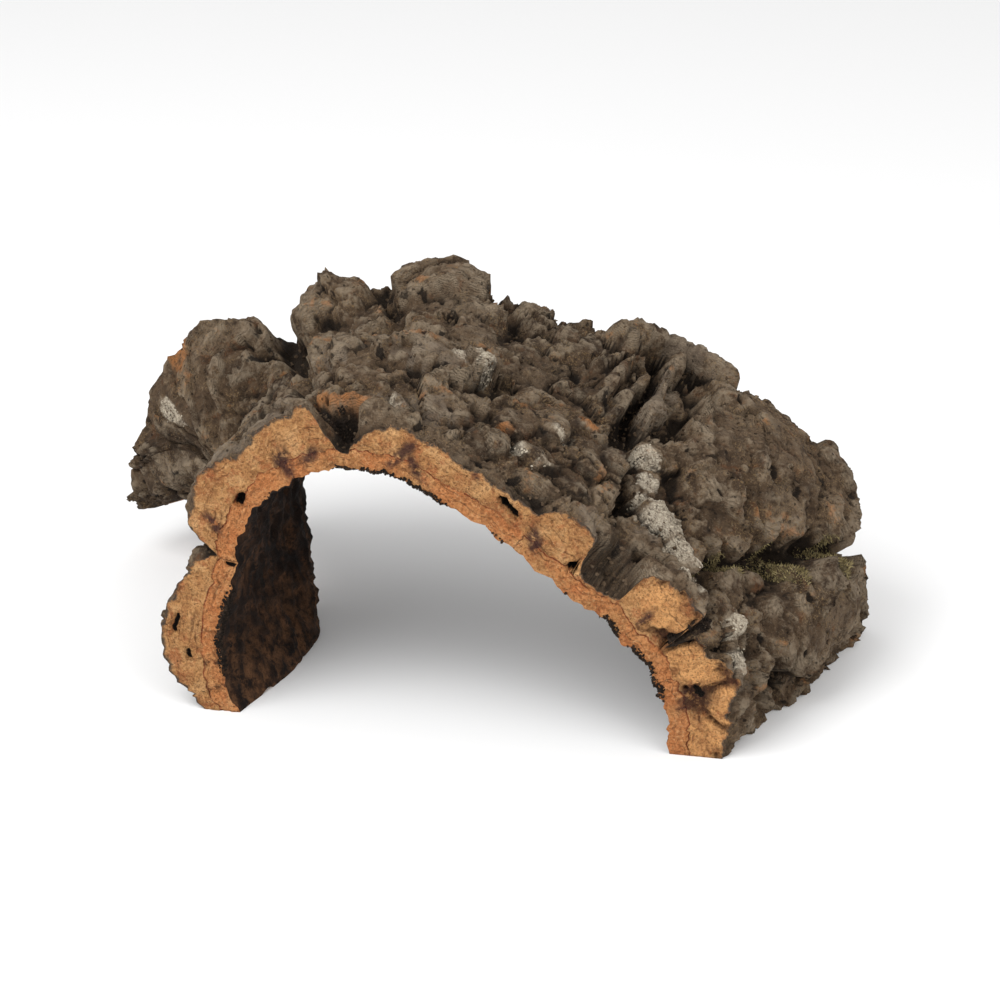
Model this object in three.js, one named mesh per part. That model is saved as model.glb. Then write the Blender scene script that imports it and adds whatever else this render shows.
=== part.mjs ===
// A slab of cork bark: one arched piece, sawn across at the front and broken off at the back,
// that lies on its two long edges. Millimetres, +Z up, with the front cut facing -Y.
import * as THREE from "three";

// Driving dimensions
const archLength = 470; // over the arch, from the left foot to the right foot
const slabDepth = 172; // from the front cut to the back edge
const leastThickness = 6; // bark left under the deepest crevice
const centreShift = { x: 11.79, y: -91.67 }; // brings the middle of the footprint to the origin
const barkColour = 0x5e5044;

// Mesh density: the inside has half the outside's steps, and the rims join the two.
const insideSteps = { along: 50, deep: 21 };
const outsideSteps = { along: 2 * insideSteps.along, deep: 2 * insideSteps.deep };

// Four sections across the arch, from the front cut to the back edge. Each gives points of the
// inside face from the left foot over the crown to the right foot, and the bark's thickness there.
const sections = [
  {
    inside: [
      [-98, 0, 0], [-107, 0, 30], [-99, 0, 66], [-90, 0, 97], [-66, 0, 117], [-36, 0, 124],
      [0, 0, 109], [44, 0, 78], [79, 0, 49], [93, 0, 25], [96, 0, 0],
    ],
    thickness: [18, 20, 18, 22, 24, 20, 20, 21, 25, 28, 22],
  },
  {
    inside: [
      [-84, 55, 0], [-95, 55, 30], [-97, 55, 62], [-89, 55, 95], [-64, 55, 120], [-34, 55, 128],
      [4, 55, 117], [52, 55, 92], [90, 55, 62], [108, 55, 30], [111, 55, 0],
    ],
    thickness: [17, 21, 22, 24, 23, 21, 20, 22, 25, 26, 24],
  },
  {
    inside: [
      [-94, 105, 0], [-94, 105, 27], [-96, 106, 60], [-93, 110, 91], [-68, 112, 117],
      [-34, 114, 129], [8, 114, 121], [62, 112, 101], [109, 108, 70], [129, 102, 33], [133, 98, 0],
    ],
    thickness: [18, 22, 24, 23, 22, 21, 21, 22, 25, 27, 23],
  },
  {
    inside: [
      [-185, 172, 23], [-172, 172, 50], [-153, 174, 78], [-126, 176, 99], [-86, 176, 113],
      [-44, 176, 125], [0, 174, 116], [51, 170, 99], [110, 162, 75], [140, 152, 38], [146, 146, 0],
    ],
    thickness: [19, 22, 24, 22, 20, 21, 20, 21, 24, 25, 20],
  },
];

// The left edge is lifted clear of the ground behind the left foot, over part of u and of v.
const leftLift = { height: 32, reach: 0.22, rising: [0.67, 0.79], falling: [1, 0.84] };

// Relief on the weathered outside. A place is [along the arch, depth from the front cut].
const lumps = [
  { at: [188, 160], size: [20, 18], rise: 13 }, // knobs of the crown's back edge
  { at: [235, 155], size: [22, 20], rise: 12 },
  { at: [98, 166], size: [48, 34], rise: 18 }, // left lobe
  { at: [44, 164], size: [34, 28], rise: 12 },
  { at: [120, 168], size: [14, 14], rise: 21 },
  { at: [140, 160], size: [12, 16], rise: 7 },
  { at: [248, 64], size: [28, 14], rise: 10 }, // ridges over the crown
  { at: [193, 78], size: [24, 18], rise: 8 },
  { at: [258, 34], size: [34, 13], rise: 7 },
  { at: [243, 10], size: [14, 14], rise: 8 },
  { at: [300, 46], size: [13, 13], rise: 8 }, // scallops right of the crown
  { at: [319, 54], size: [12, 13], rise: 9 },
  { at: [314, 29], size: [15, 12], rise: 7 },
  { at: [292, 26], size: [12, 14], rise: 8 },
  { at: [278, 20], size: [10, 12], rise: 6 },
  { at: [343, 168], size: [20, 12], rise: 10 }, // behind the cap
  { at: [374, 126], size: [36, 42], rise: 13 }, // upper right lobe
  { at: [356, 88], size: [18, 18], rise: 10 },
  { at: [398, 138], size: [20, 34], rise: 17 },
  { at: [424, 96], size: [24, 52], rise: 16 }, // lower right lobe
  { at: [418, 34], size: [18, 20], rise: 6 },
  { at: [188, 8], size: [22, 16], rise: 6 }, // front rim
  { at: [323, 6], size: [12, 11], rise: 11 },
  { at: [371, 6], size: [16, 14], rise: 12 },
  { at: [423, 4], size: [22, 14], rise: 7 },
  { at: [61, 6], size: [34, 30], rise: 5 },
  { at: [141, 8], size: [24, 24], rise: 5 },
];
const ridges = [
  { path: [[317, 134], [313, 110], [311, 90]], width: 3.8, rise: 8 }, // fingers
  { path: [[322, 122], [316, 79]], width: 3.8, rise: 8 },
  { path: [[307, 114], [316, 145]], width: 3.6, rise: 7 },
  { path: [[337, 160], [329, 118], [329, 88]], width: 4.6, rise: 12 }, // strap
  { path: [[314, 146], [327, 163], [341, 168], [353, 160]], width: 6.5, rise: 13 }, // cap over the strap
  { path: [[208, 18], [220, 19], [232, 17]], width: 5, rise: 6 }, // broken flap behind the notch
  { path: [[345, 46], [356, 41], [368, 30]], width: 6.5, rise: 11 }, // strap over the recess
  { path: [[395, 26], [410, 12], [421, 2]], width: 7, rise: 8 }, // pale rib down to the right foot
];
// A low power gives a trough with sheer sides, a high one a V.
const crevices = [
  { path: [[223, -6], [222, 2]], width: 16, depth: 14, power: 1.2 }, // notch in the rim
  { path: [[231, 10], [246, 12]], width: 6, depth: 9, power: 0.8 },
  { path: [[343, -6], [346, 2]], width: 10, depth: 11, power: 0.5 }, // recess
  { path: [[355, 15], [357, 17]], width: 6, depth: 12, power: 0.8 },
  { path: [[386, -4], [385, 8]], width: 3.5, depth: 16, power: 1 }, // cracks at the ends of the cut
  { path: [[383, 18], [374, 34]], width: 6, depth: 10, power: 1.5 },
  { path: [[108, 0], [112, 14], [104, 30]], width: 7, depth: 8, power: 1.5 },
  // long fissure
  { path: [[331, 160], [324, 120], [323, 76], [328, 62], [331, 38]], width: 8, depth: 13, power: 1.2 },
  { path: [[342, 146], [338, 92]], width: 7, depth: 10, power: 1.2 },
  // between the right lobes
  { path: [[370, 24], [380, 51], [394, 86], [414, 130]], width: 7, depth: 13, power: 1.2 },
  { path: [[414, 130], [424, 172]], width: 12, depth: 19, power: 1.2 },
  { path: [[154, 178], [160, 140], [172, 105]], width: 11, depth: 17, power: 1.3 }, // beside the left lobe
  { path: [[172, 105], [190, 40], [176, 12]], width: 9, depth: 10, power: 1.5 },
  { path: [[215, 165], [217, 130], [224, 78]], width: 7, depth: 8, power: 1.5 }, // down from the crown
  { path: [[262, 168], [266, 140], [274, 100]], width: 9, depth: 7, power: 1.5 },
  { path: [[268, 54], [290, 66]], width: 9, depth: 9, power: 1.5 },
  { path: [[436, 0], [424, 16], [404, 40]], width: 6, depth: 8, power: 1.5 }, // over the right foot
  { path: [[462, 62], [444, 52], [424, 44]], width: 8, depth: 9, power: 1.2 },
  { path: [[280, 92], [292, 104]], width: 24, depth: 5, power: 1.5 }, // trough behind the crown
];

// Broken plates all over: each cell of a fixed, seeded pattern has its own level and lean.
const plates = { seed: 7, cell: 21, rise: 5, tilt: 1.1, sink: 0.3, atFront: 0.35, frontReach: 14 };
// Sums of waves, each [height, turn per first unit, turn per second unit, phase]: outlines waver over
// millimetres along and deep, so that no lump is a plain ellipse, and the back edge runs in and out over u.
const wavering = {
  along: [[2.6, 0, 0.13, 0.6], [1.8, 0.21, 0.35, 0]],
  deep: [[2.4, 0.12, 0, 1.7], [1.7, -0.19, 0.27, 0]],
};
const brokenEdge = { from: 0.8, waves: [[3.2, 37, 0, 1], [2.2, 83, 0, 2.4]] };
const ripple = { height: 1.2, first: [1, 41, 9, 0], second: [1, 23, 17, 0], fade: 0.05 }; // on the inside
const levelReach = { foot: 0.07, cut: 0.25 }; // shares of u and v where the bark's thickness turns level
const blendWidth = 1.6; // rounding where two raised forms meet
const domePower = 0.5; // a lump's section: a half is an ellipse, and more is flatter at the edge

const clamp = (value, low, high) => Math.min(Math.max(value, low), high);

function ease(low, high, value) {
  const t = clamp((value - low) / (high - low), 0, 1);
  return t * t * (3 - 2 * t);
}

const waves = (rows, x, y) =>
  rows.reduce((sum, [height, perX, perY, phase]) => sum + height * Math.sin(perX * x + perY * y + phase), 0);

// The higher of two heights, rounded where they are alike; a form of no height changes nothing.
function smoothMax(a, b) {
  if (b <= 0) return a;
  const near = Math.max(blendWidth - Math.abs(a - b), 0) / blendWidth;
  return Math.max(a, b) + (near * near * blendWidth) / 4;
}

// Catmull-Rom through a row of numbers, run out straight at both ends.
function along(row, t) {
  const spans = row.length - 1;
  const i = Math.min(Math.floor(t * spans), spans - 1);
  const x = t * spans - i;
  const [b, c] = [row[i], row[i + 1]];
  const a = i > 0 ? row[i - 1] : 2 * b - c;
  const d = i + 2 <= spans ? row[i + 2] : 2 * c - b;
  return b + (x / 2) * (c - a + x * (2 * a - 5 * b + 4 * c - d + x * (3 * (b - c) + d - a)));
}

// The net's value at u along the arch and v in depth, both from 0 to 1.
function onNet(pick, u, v) {
  return along(sections.map((section) => along(pick(section), u)), v);
}

function insidePoint(u, v) {
  const [x, y, z] = [0, 1, 2].map((k) => onNet((s) => s.inside.map((p) => p[k]), u, v));
  const { height, reach, rising, falling } = leftLift;
  const lift = height * ease(reach, 0, u) * ease(...rising, v) * ease(...falling, v);
  return new THREE.Vector3(x, y, z + lift);
}

// Direction from the inside to the outside: level at the feet and within the plane of the cut.
function outward(u, v) {
  const step = 1e-3;
  const [u0, u1] = [Math.max(u - step, 0), Math.min(u + step, 1)];
  const [v0, v1] = [Math.max(v - step, 0), Math.min(v + step, 1)];
  const across = insidePoint(u1, v).sub(insidePoint(u0, v));
  const deep = insidePoint(u, v1).sub(insidePoint(u, v0));
  const normal = across.cross(deep).normalize();
  normal.y *= ease(0, levelReach.cut, v);
  normal.z *= ease(0, levelReach.foot, u) * ease(0, levelReach.foot, 1 - u);
  return normal.normalize();
}

// A number from 0 to 1 that belongs to one cell of the plates' pattern.
function cellDraw(i, j, seed) {
  let h = Math.imul(i, 374761393) + Math.imul(j, 668265263) + Math.imul(seed, 974634777);
  h = Math.imul(h ^ (h >>> 13), 1274126177);
  return ((h ^ (h >>> 16)) >>> 0) / 2 ** 32;
}

// Level of the broken plate at a place: the nearest cell's own level, plus its lean.
function plateLevel(a, d) {
  const [x, y] = [a / plates.cell, d / plates.cell];
  let nearest = Infinity;
  let level = 0;
  for (const i of [-1, 0, 1].map((step) => Math.floor(x) + step))
    for (const j of [-1, 0, 1].map((step) => Math.floor(y) + step)) {
      const draw = (k) => cellDraw(i, j, plates.seed + k);
      const [p, q] = [x - i - draw(0), y - j - draw(1)];
      const room = Math.hypot(p, q);
      if (room >= nearest) continue;
      const turn = 2 * Math.PI * draw(2);
      nearest = room;
      level = draw(3) - plates.sink + plates.tilt * (p * Math.cos(turn) + q * Math.sin(turn));
    }
  return level;
}

function domeHeight({ at, size, rise }, a, d) {
  const [p, q] = [(a - at[0]) / size[0], (d - at[1]) / size[1]];
  return rise * Math.max(1 - p * p - q * q, 0) ** domePower;
}

function distanceTo(path, a, d) {
  let least = Infinity;
  for (let i = 0; i + 1 < path.length; i++) {
    const [[a0, d0], [a1, d1]] = [path[i], path[i + 1]];
    const [da, dd] = [a1 - a0, d1 - d0];
    const t = clamp(((a - a0) * da + (d - d0) * dd) / (da * da + dd * dd), 0, 1);
    least = Math.min(least, Math.hypot(a - a0 - t * da, d - d0 - t * dd));
  }
  return least;
}

const fallOff = (distance, width) => Math.max(1 - (distance / width) ** 2, 0);

// Height of the relief over the bare thickness
function reliefAt(u, v) {
  const [a0, d0] = [u * archLength, v * slabDepth];
  const a = a0 + waves(wavering.along, a0, d0);
  const d = d0 + waves(wavering.deep, a0, d0);
  let height = 0;
  for (const lump of lumps) height = smoothMax(height, domeHeight(lump, a, d));
  for (const { path, width, rise } of ridges)
    height = smoothMax(height, rise * fallOff(distanceTo(path, a, d), width) ** domePower);
  let cut = 0;
  for (const { path, width, depth, power } of crevices)
    cut = Math.max(cut, depth * fallOff(distanceTo(path, a, d), width) ** power);
  const share = plates.atFront + (1 - plates.atFront) * ease(0, plates.frontReach, d);
  return height - cut + plates.rise * share * plateLevel(a, d);
}

function raised(u, v, height) {
  const point = insidePoint(u, v).addScaledVector(outward(u, v), height);
  point.y += ease(brokenEdge.from, 1, v) * waves(brokenEdge.waves, u, v);
  point.z = Math.max(point.z, 0);
  return point;
}

function insideSkin(u, v) {
  const height = ripple.height * waves([ripple.first], u, v) * waves([ripple.second], u, v);
  return raised(u, v, height * ease(0, ripple.fade, u) * ease(0, ripple.fade, 1 - u));
}

function outsideSkin(u, v) {
  const thickness = onNet((section) => section.thickness, u, v) + reliefAt(u, v);
  return raised(u, v, Math.max(thickness, leastThickness));
}

function buildSlab() {
  const positions = [];
  const faces = [];
  const addGrid = (skin, { along: columns, deep: rows }) => {
    const grid = [];
    for (let j = 0; j <= rows; j++) {
      grid.push([]);
      for (let i = 0; i <= columns; i++) {
        const point = skin(i / columns, j / rows);
        grid[j].push(positions.length / 3);
        positions.push(point.x + centreShift.x, point.y + centreShift.y, point.z);
      }
    }
    return grid;
  };
  const addFace = (a, b, c, flipped) => faces.push(...(flipped ? [a, c, b] : [a, b, c]));
  const addSkin = (grid, flipped) => {
    for (let j = 0; j + 1 < grid.length; j++)
      for (let i = 0; i + 1 < grid[j].length; i++) {
        addFace(grid[j][i], grid[j][i + 1], grid[j + 1][i + 1], flipped);
        addFace(grid[j][i], grid[j + 1][i + 1], grid[j + 1][i], flipped);
      }
  };
  // Joins an edge of the inside to the outside's edge, which has two steps to each of its own.
  const addRim = (inner, outer, flipped) => {
    for (let i = 0; i + 1 < inner.length; i++) {
      addFace(inner[i], outer[2 * i + 1], outer[2 * i], flipped);
      addFace(inner[i], inner[i + 1], outer[2 * i + 1], flipped);
      addFace(inner[i + 1], outer[2 * i + 2], outer[2 * i + 1], flipped);
    }
  };
  const inside = addGrid(insideSkin, insideSteps);
  const outside = addGrid(outsideSkin, outsideSteps);
  addSkin(inside, true);
  addSkin(outside, false);
  addRim(inside[0], outside[0], false);
  addRim(inside.at(-1), outside.at(-1), true);
  addRim(inside.map((row) => row[0]), outside.map((row) => row[0]), true);
  addRim(inside.map((row) => row.at(-1)), outside.map((row) => row.at(-1)), false);
  const geometry = new THREE.BufferGeometry();
  geometry.setAttribute("position", new THREE.Float32BufferAttribute(positions, 3));
  geometry.setIndex(faces);
  geometry.computeVertexNormals();
  return geometry;
}

const barkMaterial = new THREE.MeshStandardMaterial({
  color: barkColour,
  roughness: 0.95,
  metalness: 0,
});
const slab = new THREE.Mesh(buildSlab(), barkMaterial);
slab.name = "cork_bark_slab";

const part = new THREE.Group();
part.add(slab);
export default part;
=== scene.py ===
import math
import bpy
import numpy as np
from mathutils import Matrix, Vector


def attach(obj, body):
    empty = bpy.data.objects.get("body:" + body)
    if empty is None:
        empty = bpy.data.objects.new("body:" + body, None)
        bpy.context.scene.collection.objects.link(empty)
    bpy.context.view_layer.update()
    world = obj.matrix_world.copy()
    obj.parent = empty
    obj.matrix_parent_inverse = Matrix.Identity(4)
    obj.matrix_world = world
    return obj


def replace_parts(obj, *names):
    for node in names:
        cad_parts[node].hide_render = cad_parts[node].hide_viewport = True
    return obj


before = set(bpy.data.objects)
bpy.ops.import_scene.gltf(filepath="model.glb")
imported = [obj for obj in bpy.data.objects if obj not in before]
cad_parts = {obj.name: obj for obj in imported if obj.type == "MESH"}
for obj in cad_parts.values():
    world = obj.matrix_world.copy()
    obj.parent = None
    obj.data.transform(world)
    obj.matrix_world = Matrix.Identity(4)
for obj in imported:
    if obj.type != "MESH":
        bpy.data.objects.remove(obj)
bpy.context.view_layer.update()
mm = 0.001

# The slab's form, in millimetres: places are (along the arch, depth from the front cut)
slabForm = {
    "archLength": 470.0,
    "slabDepth": 172.0,
    "leastThickness": 6.0,
    "centreShift": (11.79, -91.67, 0.0),  # middle of the footprint goes to the origin
    "blendWidth": 1.6,
    "domePower": 0.5,
    "inside": [  # four sections, front to back, each from the left foot to the right foot
        [(-98, 0, 0), (-107, 0, 30), (-99, 0, 66), (-90, 0, 97), (-66, 0, 117), (-36, 0, 124),
         (0, 0, 109), (44, 0, 78), (79, 0, 49), (93, 0, 25), (96, 0, 0)],
        [(-84, 55, 0), (-95, 55, 30), (-97, 55, 62), (-89, 55, 95), (-64, 55, 120), (-34, 55, 128),
         (4, 55, 117), (52, 55, 92), (90, 55, 62), (108, 55, 30), (111, 55, 0)],
        [(-94, 105, 0), (-94, 105, 27), (-96, 106, 60), (-93, 110, 91), (-68, 112, 117),
         (-34, 114, 129), (8, 114, 121), (62, 112, 101), (109, 108, 70), (129, 102, 33), (133, 98, 0)],
        [(-185, 172, 23), (-172, 172, 50), (-153, 174, 78), (-126, 176, 99), (-86, 176, 113),
         (-44, 176, 125), (0, 174, 116), (51, 170, 99), (110, 162, 75), (140, 152, 38), (146, 146, 0)],
    ],
    "leftLift": (32.0, 0.22, (0.67, 0.79), (1.0, 0.84)),  # height, reach along the arch, where in depth
    "thickness": [
        [18, 20, 18, 22, 24, 20, 20, 21, 25, 28, 22],
        [17, 21, 22, 24, 23, 21, 20, 22, 25, 26, 24],
        [18, 22, 24, 23, 22, 21, 21, 22, 25, 27, 23],
        [19, 22, 24, 22, 20, 21, 20, 21, 24, 25, 20],
    ],
    "lumps": [  # place, half sizes, rise
        ((188, 160), (20, 18), 13), ((235, 155), (22, 20), 12),  # knobs of the crown's back edge
        ((98, 166), (48, 34), 18), ((44, 164), (34, 28), 12),  # left lobe
        ((120, 168), (14, 14), 21), ((140, 160), (12, 16), 7),
        ((248, 64), (28, 14), 10), ((193, 78), (24, 18), 8),  # ridges over the crown
        ((258, 34), (34, 13), 7), ((243, 10), (14, 14), 8),
        ((300, 46), (13, 13), 8), ((319, 54), (12, 13), 9),  # scallops right of the crown
        ((314, 29), (15, 12), 7), ((292, 26), (12, 14), 8), ((278, 20), (10, 12), 6),
        ((343, 168), (20, 12), 10),  # behind the cap
        ((374, 126), (36, 42), 13), ((356, 88), (18, 18), 10),  # upper right lobe
        ((398, 138), (20, 34), 17),
        ((424, 96), (24, 52), 16), ((418, 34), (18, 20), 6),  # lower right lobe
        ((188, 8), (22, 16), 6), ((323, 6), (12, 11), 11), ((371, 6), (16, 14), 12),  # front rim
        ((423, 4), (22, 14), 7), ((61, 6), (34, 30), 5), ((141, 8), (24, 24), 5),
    ],
    "ridges": [  # path, half width, rise
        ([(317, 134), (313, 110), (311, 90)], 3.8, 8), ([(322, 122), (316, 79)], 3.8, 8),  # fingers
        ([(307, 114), (316, 145)], 3.6, 7), ([(337, 160), (329, 118), (329, 88)], 4.6, 12),  # strap
        ([(314, 146), (327, 163), (341, 168), (353, 160)], 6.5, 13),  # cap over the strap
        ([(208, 18), (220, 19), (232, 17)], 5, 6),  # broken flap behind the notch
        ([(345, 46), (356, 41), (368, 30)], 6.5, 11),  # strap over the recess
        ([(395, 26), (410, 12), (421, 2)], 7, 8),
    ],
    "crevices": [  # path, half width, depth, and a power: low is a sheer-sided trough, high a V
        ([(223, -6), (222, 2)], 16, 14, 1.2), ([(231, 10), (246, 12)], 6, 9, 0.8),  # notch in the rim
        ([(343, -6), (346, 2)], 10, 11, 0.5), ([(355, 15), (357, 17)], 6, 12, 0.8),  # recess
        ([(386, -4), (385, 8)], 3.5, 16, 1.0), ([(383, 18), (374, 34)], 6, 10, 1.5),
        ([(108, 0), (112, 14), (104, 30)], 7, 8, 1.5),
        ([(331, 160), (324, 120), (323, 76), (328, 62), (331, 38)], 8, 13, 1.2),  # long fissure
        ([(342, 146), (338, 92)], 7, 10, 1.2),
        ([(370, 24), (380, 51), (394, 86), (414, 130)], 7, 13, 1.2),  # between the right lobes
        ([(414, 130), (424, 172)], 12, 19, 1.2),
        ([(154, 178), (160, 140), (172, 105)], 11, 17, 1.3), ([(172, 105), (190, 40), (176, 12)], 9, 10, 1.5),
        ([(215, 165), (217, 130), (224, 78)], 7, 8, 1.5),
        ([(262, 168), (266, 140), (274, 100)], 9, 7, 1.5),
        ([(268, 54), (290, 66)], 9, 9, 1.5),
        ([(436, 0), (424, 16), (404, 40)], 6, 8, 1.5), ([(462, 62), (444, 52), (424, 44)], 8, 9, 1.2),
        ([(280, 92), (292, 104)], 24, 5, 1.5),  # trough behind the crown
    ],
    "plates": {"seed": 7, "cell": 21.0, "rise": 5.0, "tilt": 1.1, "riseAtCut": 0.35, "cutMargin": 14.0},
    "wavering": {  # so that no lump is a plain ellipse: height, rate along, rate in depth, start
        "along": [(2.6, 0.0, 0.13, 0.6), (1.8, 0.21, 0.35, 0.0)],
        "deep": [(2.4, 0.12, 0.0, 1.7), (1.7, -0.19, 0.27, 0.0)],
    },
    "ripple": (1.2, (41, 9), (23, 17)),  # of the inside: height, and the rates of two waves
}

# What the fine skin adds to that form
fineSkin = {
    "steps": (408, 152),  # along the arch and in depth
    "coarser": 2,  # the inside has one step for so many
    "across": 14,  # rows over the cut edges
    "cutMargin": 12.0,  # so far behind the cut the main outline is kept
    "blendWidth": 0.2,
    "crag": (13.0, 1.2, 61),  # width, height and seed of the rounded lumps between cracks
    "grains": {"seed": 33, "cell": 4.4, "radius": (1.5, 3.0), "rise": (0.1, 0.9), "tilt": 0.9},
    "pits": {"seed": 45, "cell": 17.0, "radius": (1.3, 2.8), "rise": (0.8, 3.0)},
    "seam": 2.6,  # depth of the groove between plates
    "flakes": [(9.0, 2.4, 23), (4.2, 1.1, 24)],  # width, height and seed of two smaller sizes of plate
    "strata": (1.7, 1.0),  # height of a layer, and how strongly it steps
    "ribs": {  # on the upper right lobe
        "seed": 85, "spacing": 9.0, "rise": 3.6, "heading": (0.94, 0.35),
        "middle": (390, 100), "reach": (34, 62),
    },
    "scales": [  # crisp plates that overlap, right of the crown: place, half sizes, rise, heading
        ((300, 55), (7.5, 13), 9.5, 5.0), ((316, 48), (7.5, 13), 10, 5.0), ((287, 42), (8, 12), 9, 5.0),
        ((298, 29), (8.5, 12), 9.5, 5.0), ((314, 24), (8, 11), 9, 5.0), ((326, 60), (6, 11), 9, 5.0),
        ((280, 24), (9, 11), 8.5, 5.0), ((304, 12), (9, 9), 8, 5.0),
    ],
    "scaleEdge": (0.45, 0.07),  # how much they lean, and a power: low is a sheer edge
    "scaleBed": ((303, 38), (30, 34), 7.5),  # what those plates lie on
    "knobs": [  # place, half sizes, rise
        ((208, 3), (8.5, 10), 5), ((231, 3), (8, 10), 5), ((335, 73), (5, 6), 4.5),
        ((341, 63), (4, 5), 3.5), ((262, 66), (9, 7), 3), ((131, 147), (12, 12), 7),
    ],
    "troughs": [  # path, half width, depth, power
        ([(208, 11), (226, 11)], 4.0, 6, 0.6), ([(352, 18), (358, 19)], 4.5, 9, 0.6),
    ],
    "recessLines": (344, 5, 15),  # place and reach of the fine lines in the recess
    "recessBed": (344, 6, 18),  # and of its bare bed
    "overhang": 1.5,
    "ragged": [(3.2, 37, 1.0), (2.2, 83, 2.4)],  # back edge: height, rate along the arch, start
    "youngLayers": 8.5,  # thickness of the layers between the inside and the seam
    "straps": [  # how much slimmer and how much taller each one is than the form's ridge
        (2.1, 0.8), (2.1, 0.8), (2.1, 0.8), (2.8, 0.9), (1.1, 1.2), (1.4, 0.9), (1.7, 0.9), (1.7, 0.9),
    ],
}

uneven = {  # kinds of unevenness: height, width, seed and octaves of what each one adds up
    "pushAlong": [(6.0, 17, 51, 2), (2.2, 5, 53, 2)], "pushDeep": [(6.0, 17, 52, 2), (2.2, 5, 54, 2)],
    "seamPatches": [(1, 24, 83, 2)], "strapSeams": [(1, 15, 98, 2)],
    "strapWidth": [(0.8, 13, 96, 2)], "strapHeight": [(4, 9, 97, 3)],
    "ribPatches": [(1, 26, 85, 2)], "ribWander": [(0.6, 22, 87, 2)],
    "layerSag": [(1.2, 20, 75, 2)], "layerPatches": [(1, 30, 81, 2)],
    "layerWander": [(1.4, 45, 71, 2), (0.2, 6, 73, 2)],
    "crust": [(0.9, 3.4, 91, 2)], "bumps": [(1.5, 7, 92, 3)],
    "recessLines": [(4.0, 6, 93, 3)], "recessGrain": [(1.6, 4, 95, 2)],
    "crumbPatches": [(1, 26, 221, 3)], "flakePatches": [(1, 20, 231, 3)], "soilPatches": [(1, 22, 241, 3)],
    "furrows": [(3.0, 15, 131, 3)], "insideBumps": [(2.4, 6, 141, 3)], "footChips": [(4.0, 9, 251, 3)],
    "holeRims": [(1.3, 5, 151, 3)], "sawMarks": [(1.1, 3.2, 161, 2), (1.4, 14, 171, 2)],
    "seamWander": [(1.6, 30, 181, 2)], "crumble": [(3.0, 9, 191, 3), (1.5, 3, 201, 2)],
}
markSpan = {"layer": 50.0, "run": 500.0, "lane": 500.0}  # millimetres that a mark of 1 stands for

cutHoles = [  # on the sawn face: x, z, half sizes, turn in degrees, depth
    (-94, 105, 1.8, 3.4, -35, 6.0), (-126, 41, 1.2, 6.0, -20, 4.0), (-121, 27, 1.1, 2.4, -10, 3.0),
    (24, 111, 1.7, 6.0, 40, 7.0), (52, 86, 2.1, 1.9, 30, 6.5), (107, 30, 2.0, 3.5, 30, 5.0),
    (-99, 73, 1.2, 3.2, 70, 2.5), (99, 54, 1.4, 6.5, -78, 6.0),
]
cutStains = [  # on the sawn face: x, z, half sizes, turn in degrees
    (-74, 124, 4.5, 10, 20), (-62, 128, 3.0, 7, -50), (-22, 132, 3.2, 10, -45), (-16, 126, 2.5, 8, 25),
    (36, 97, 4.0, 8, 10), (106, 28, 9.0, 8, 20), (10, 126, 1.6, 5, 30), (62, 82, 2.0, 5, -60),
    (-106, 92, 3.0, 8, 40), (84, 64, 2.0, 6, -40),
]
cutBlocks = [  # rounded blocks that the right end of the cut falls into: x, z, half sizes, turn
    (90, 71, 16, 10, -40), (105, 43, 13, 9, -20), (121, 25, 9, 9, 20), (104, 8, 16, 11, 0),
]
spots = {  # patches on the skin: place on the arch, half sizes, strength
    "pale": [  # white lichen
        (82, 160, 7, 7, 1.3), (335, 70, 6, 6, 1.2), (341, 60, 5, 5, 1.1), (262, 66, 12, 7, 0.5),
        (352, 42, 11, 7, 1.0), (364, 32, 9, 8, 1.1), (399, 22, 7, 9, 0.8), (412, 8, 8, 8, 0.8),
        (296, 22, 10, 8, 0.36), (304, 50, 8, 6, 0.36), (343, 48, 7, 6, 0.9), (240, 20, 8, 5, 0.34),
        (371, 12, 8, 7, 0.5),
    ],
    "grey": [  # smooth grey bark
        (148, 8, 18, 12, 1.0), (176, 8, 20, 12, 1.0), (197, 8, 10, 8, 0.7), (325, 4, 9, 9, 0.8),
        (250, 22, 26, 12, 0.7), (418, 6, 16, 12, 0.8), (356, 40, 18, 12, 0.6),
        (345, 164, 22, 10, 0.8), (330, 110, 6, 44, 0.7), (196, 70, 20, 14, 0.4), (248, 62, 26, 12, 0.6),
    ],
    "calm": [  # broad, less broken faces
        (92, 150, 60, 44, 1.0), (50, 125, 46, 46, 1.0), (380, 128, 40, 52, 1.0), (205, 140, 24, 24, 0.5),
        (392, 70, 34, 40, 0.9), (428, 96, 30, 60, 0.8),
    ],
    "fresh": [  # broken cork, still orange
        (209, 17, 7, 3.5, 1.0), (221, 17.5, 10, 3.5, 1.2), (108, 170, 11, 7, 1.2), (312, 70, 5, 4, 1.0),
        (286, 32, 5, 4, 0.7), (92, 30, 6, 5, 0.5),
    ],
    "shade": [  # painted shade: patches darkened where the bark lies in shade
        (26, 156, 34, 16, 1.2), (60, 148, 30, 20, 0.7), (286, 122, 34, 40, 0.9), (425, 140, 26, 40, 0.6),
    ],
    "moss": [  # moss in the damp crevice
        (399, 87, 12, 9, 1.2), (384, 60, 7, 7, 0.9), (410, 112, 11, 10, 0.9), (372, 34, 5, 5, 0.6),
    ],
    "soil": [  # dark crumbs caught in a hollow
        (217, 11, 11, 3.5, 1.0), (356, 18, 7, 6, 0.9), (386, 4, 5, 9, 1.3),
    ],
}
spotSeeds = {"pale": 101, "grey": 141, "calm": 145, "fresh": 111, "shade": 125, "moss": 121, "soil": 131}
soilEdge = [  # clumps of dark crumbs below the cut: place on the arch, reach
    (219, 9), (240, 14), (266, 14), (359, 7), (384, 12), (410, 12), (60, 30),
]


def ease(low, high, value):
    t = np.clip((value - low) / (high - low), 0, 1)
    return t * t * (3 - 2 * t)


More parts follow.
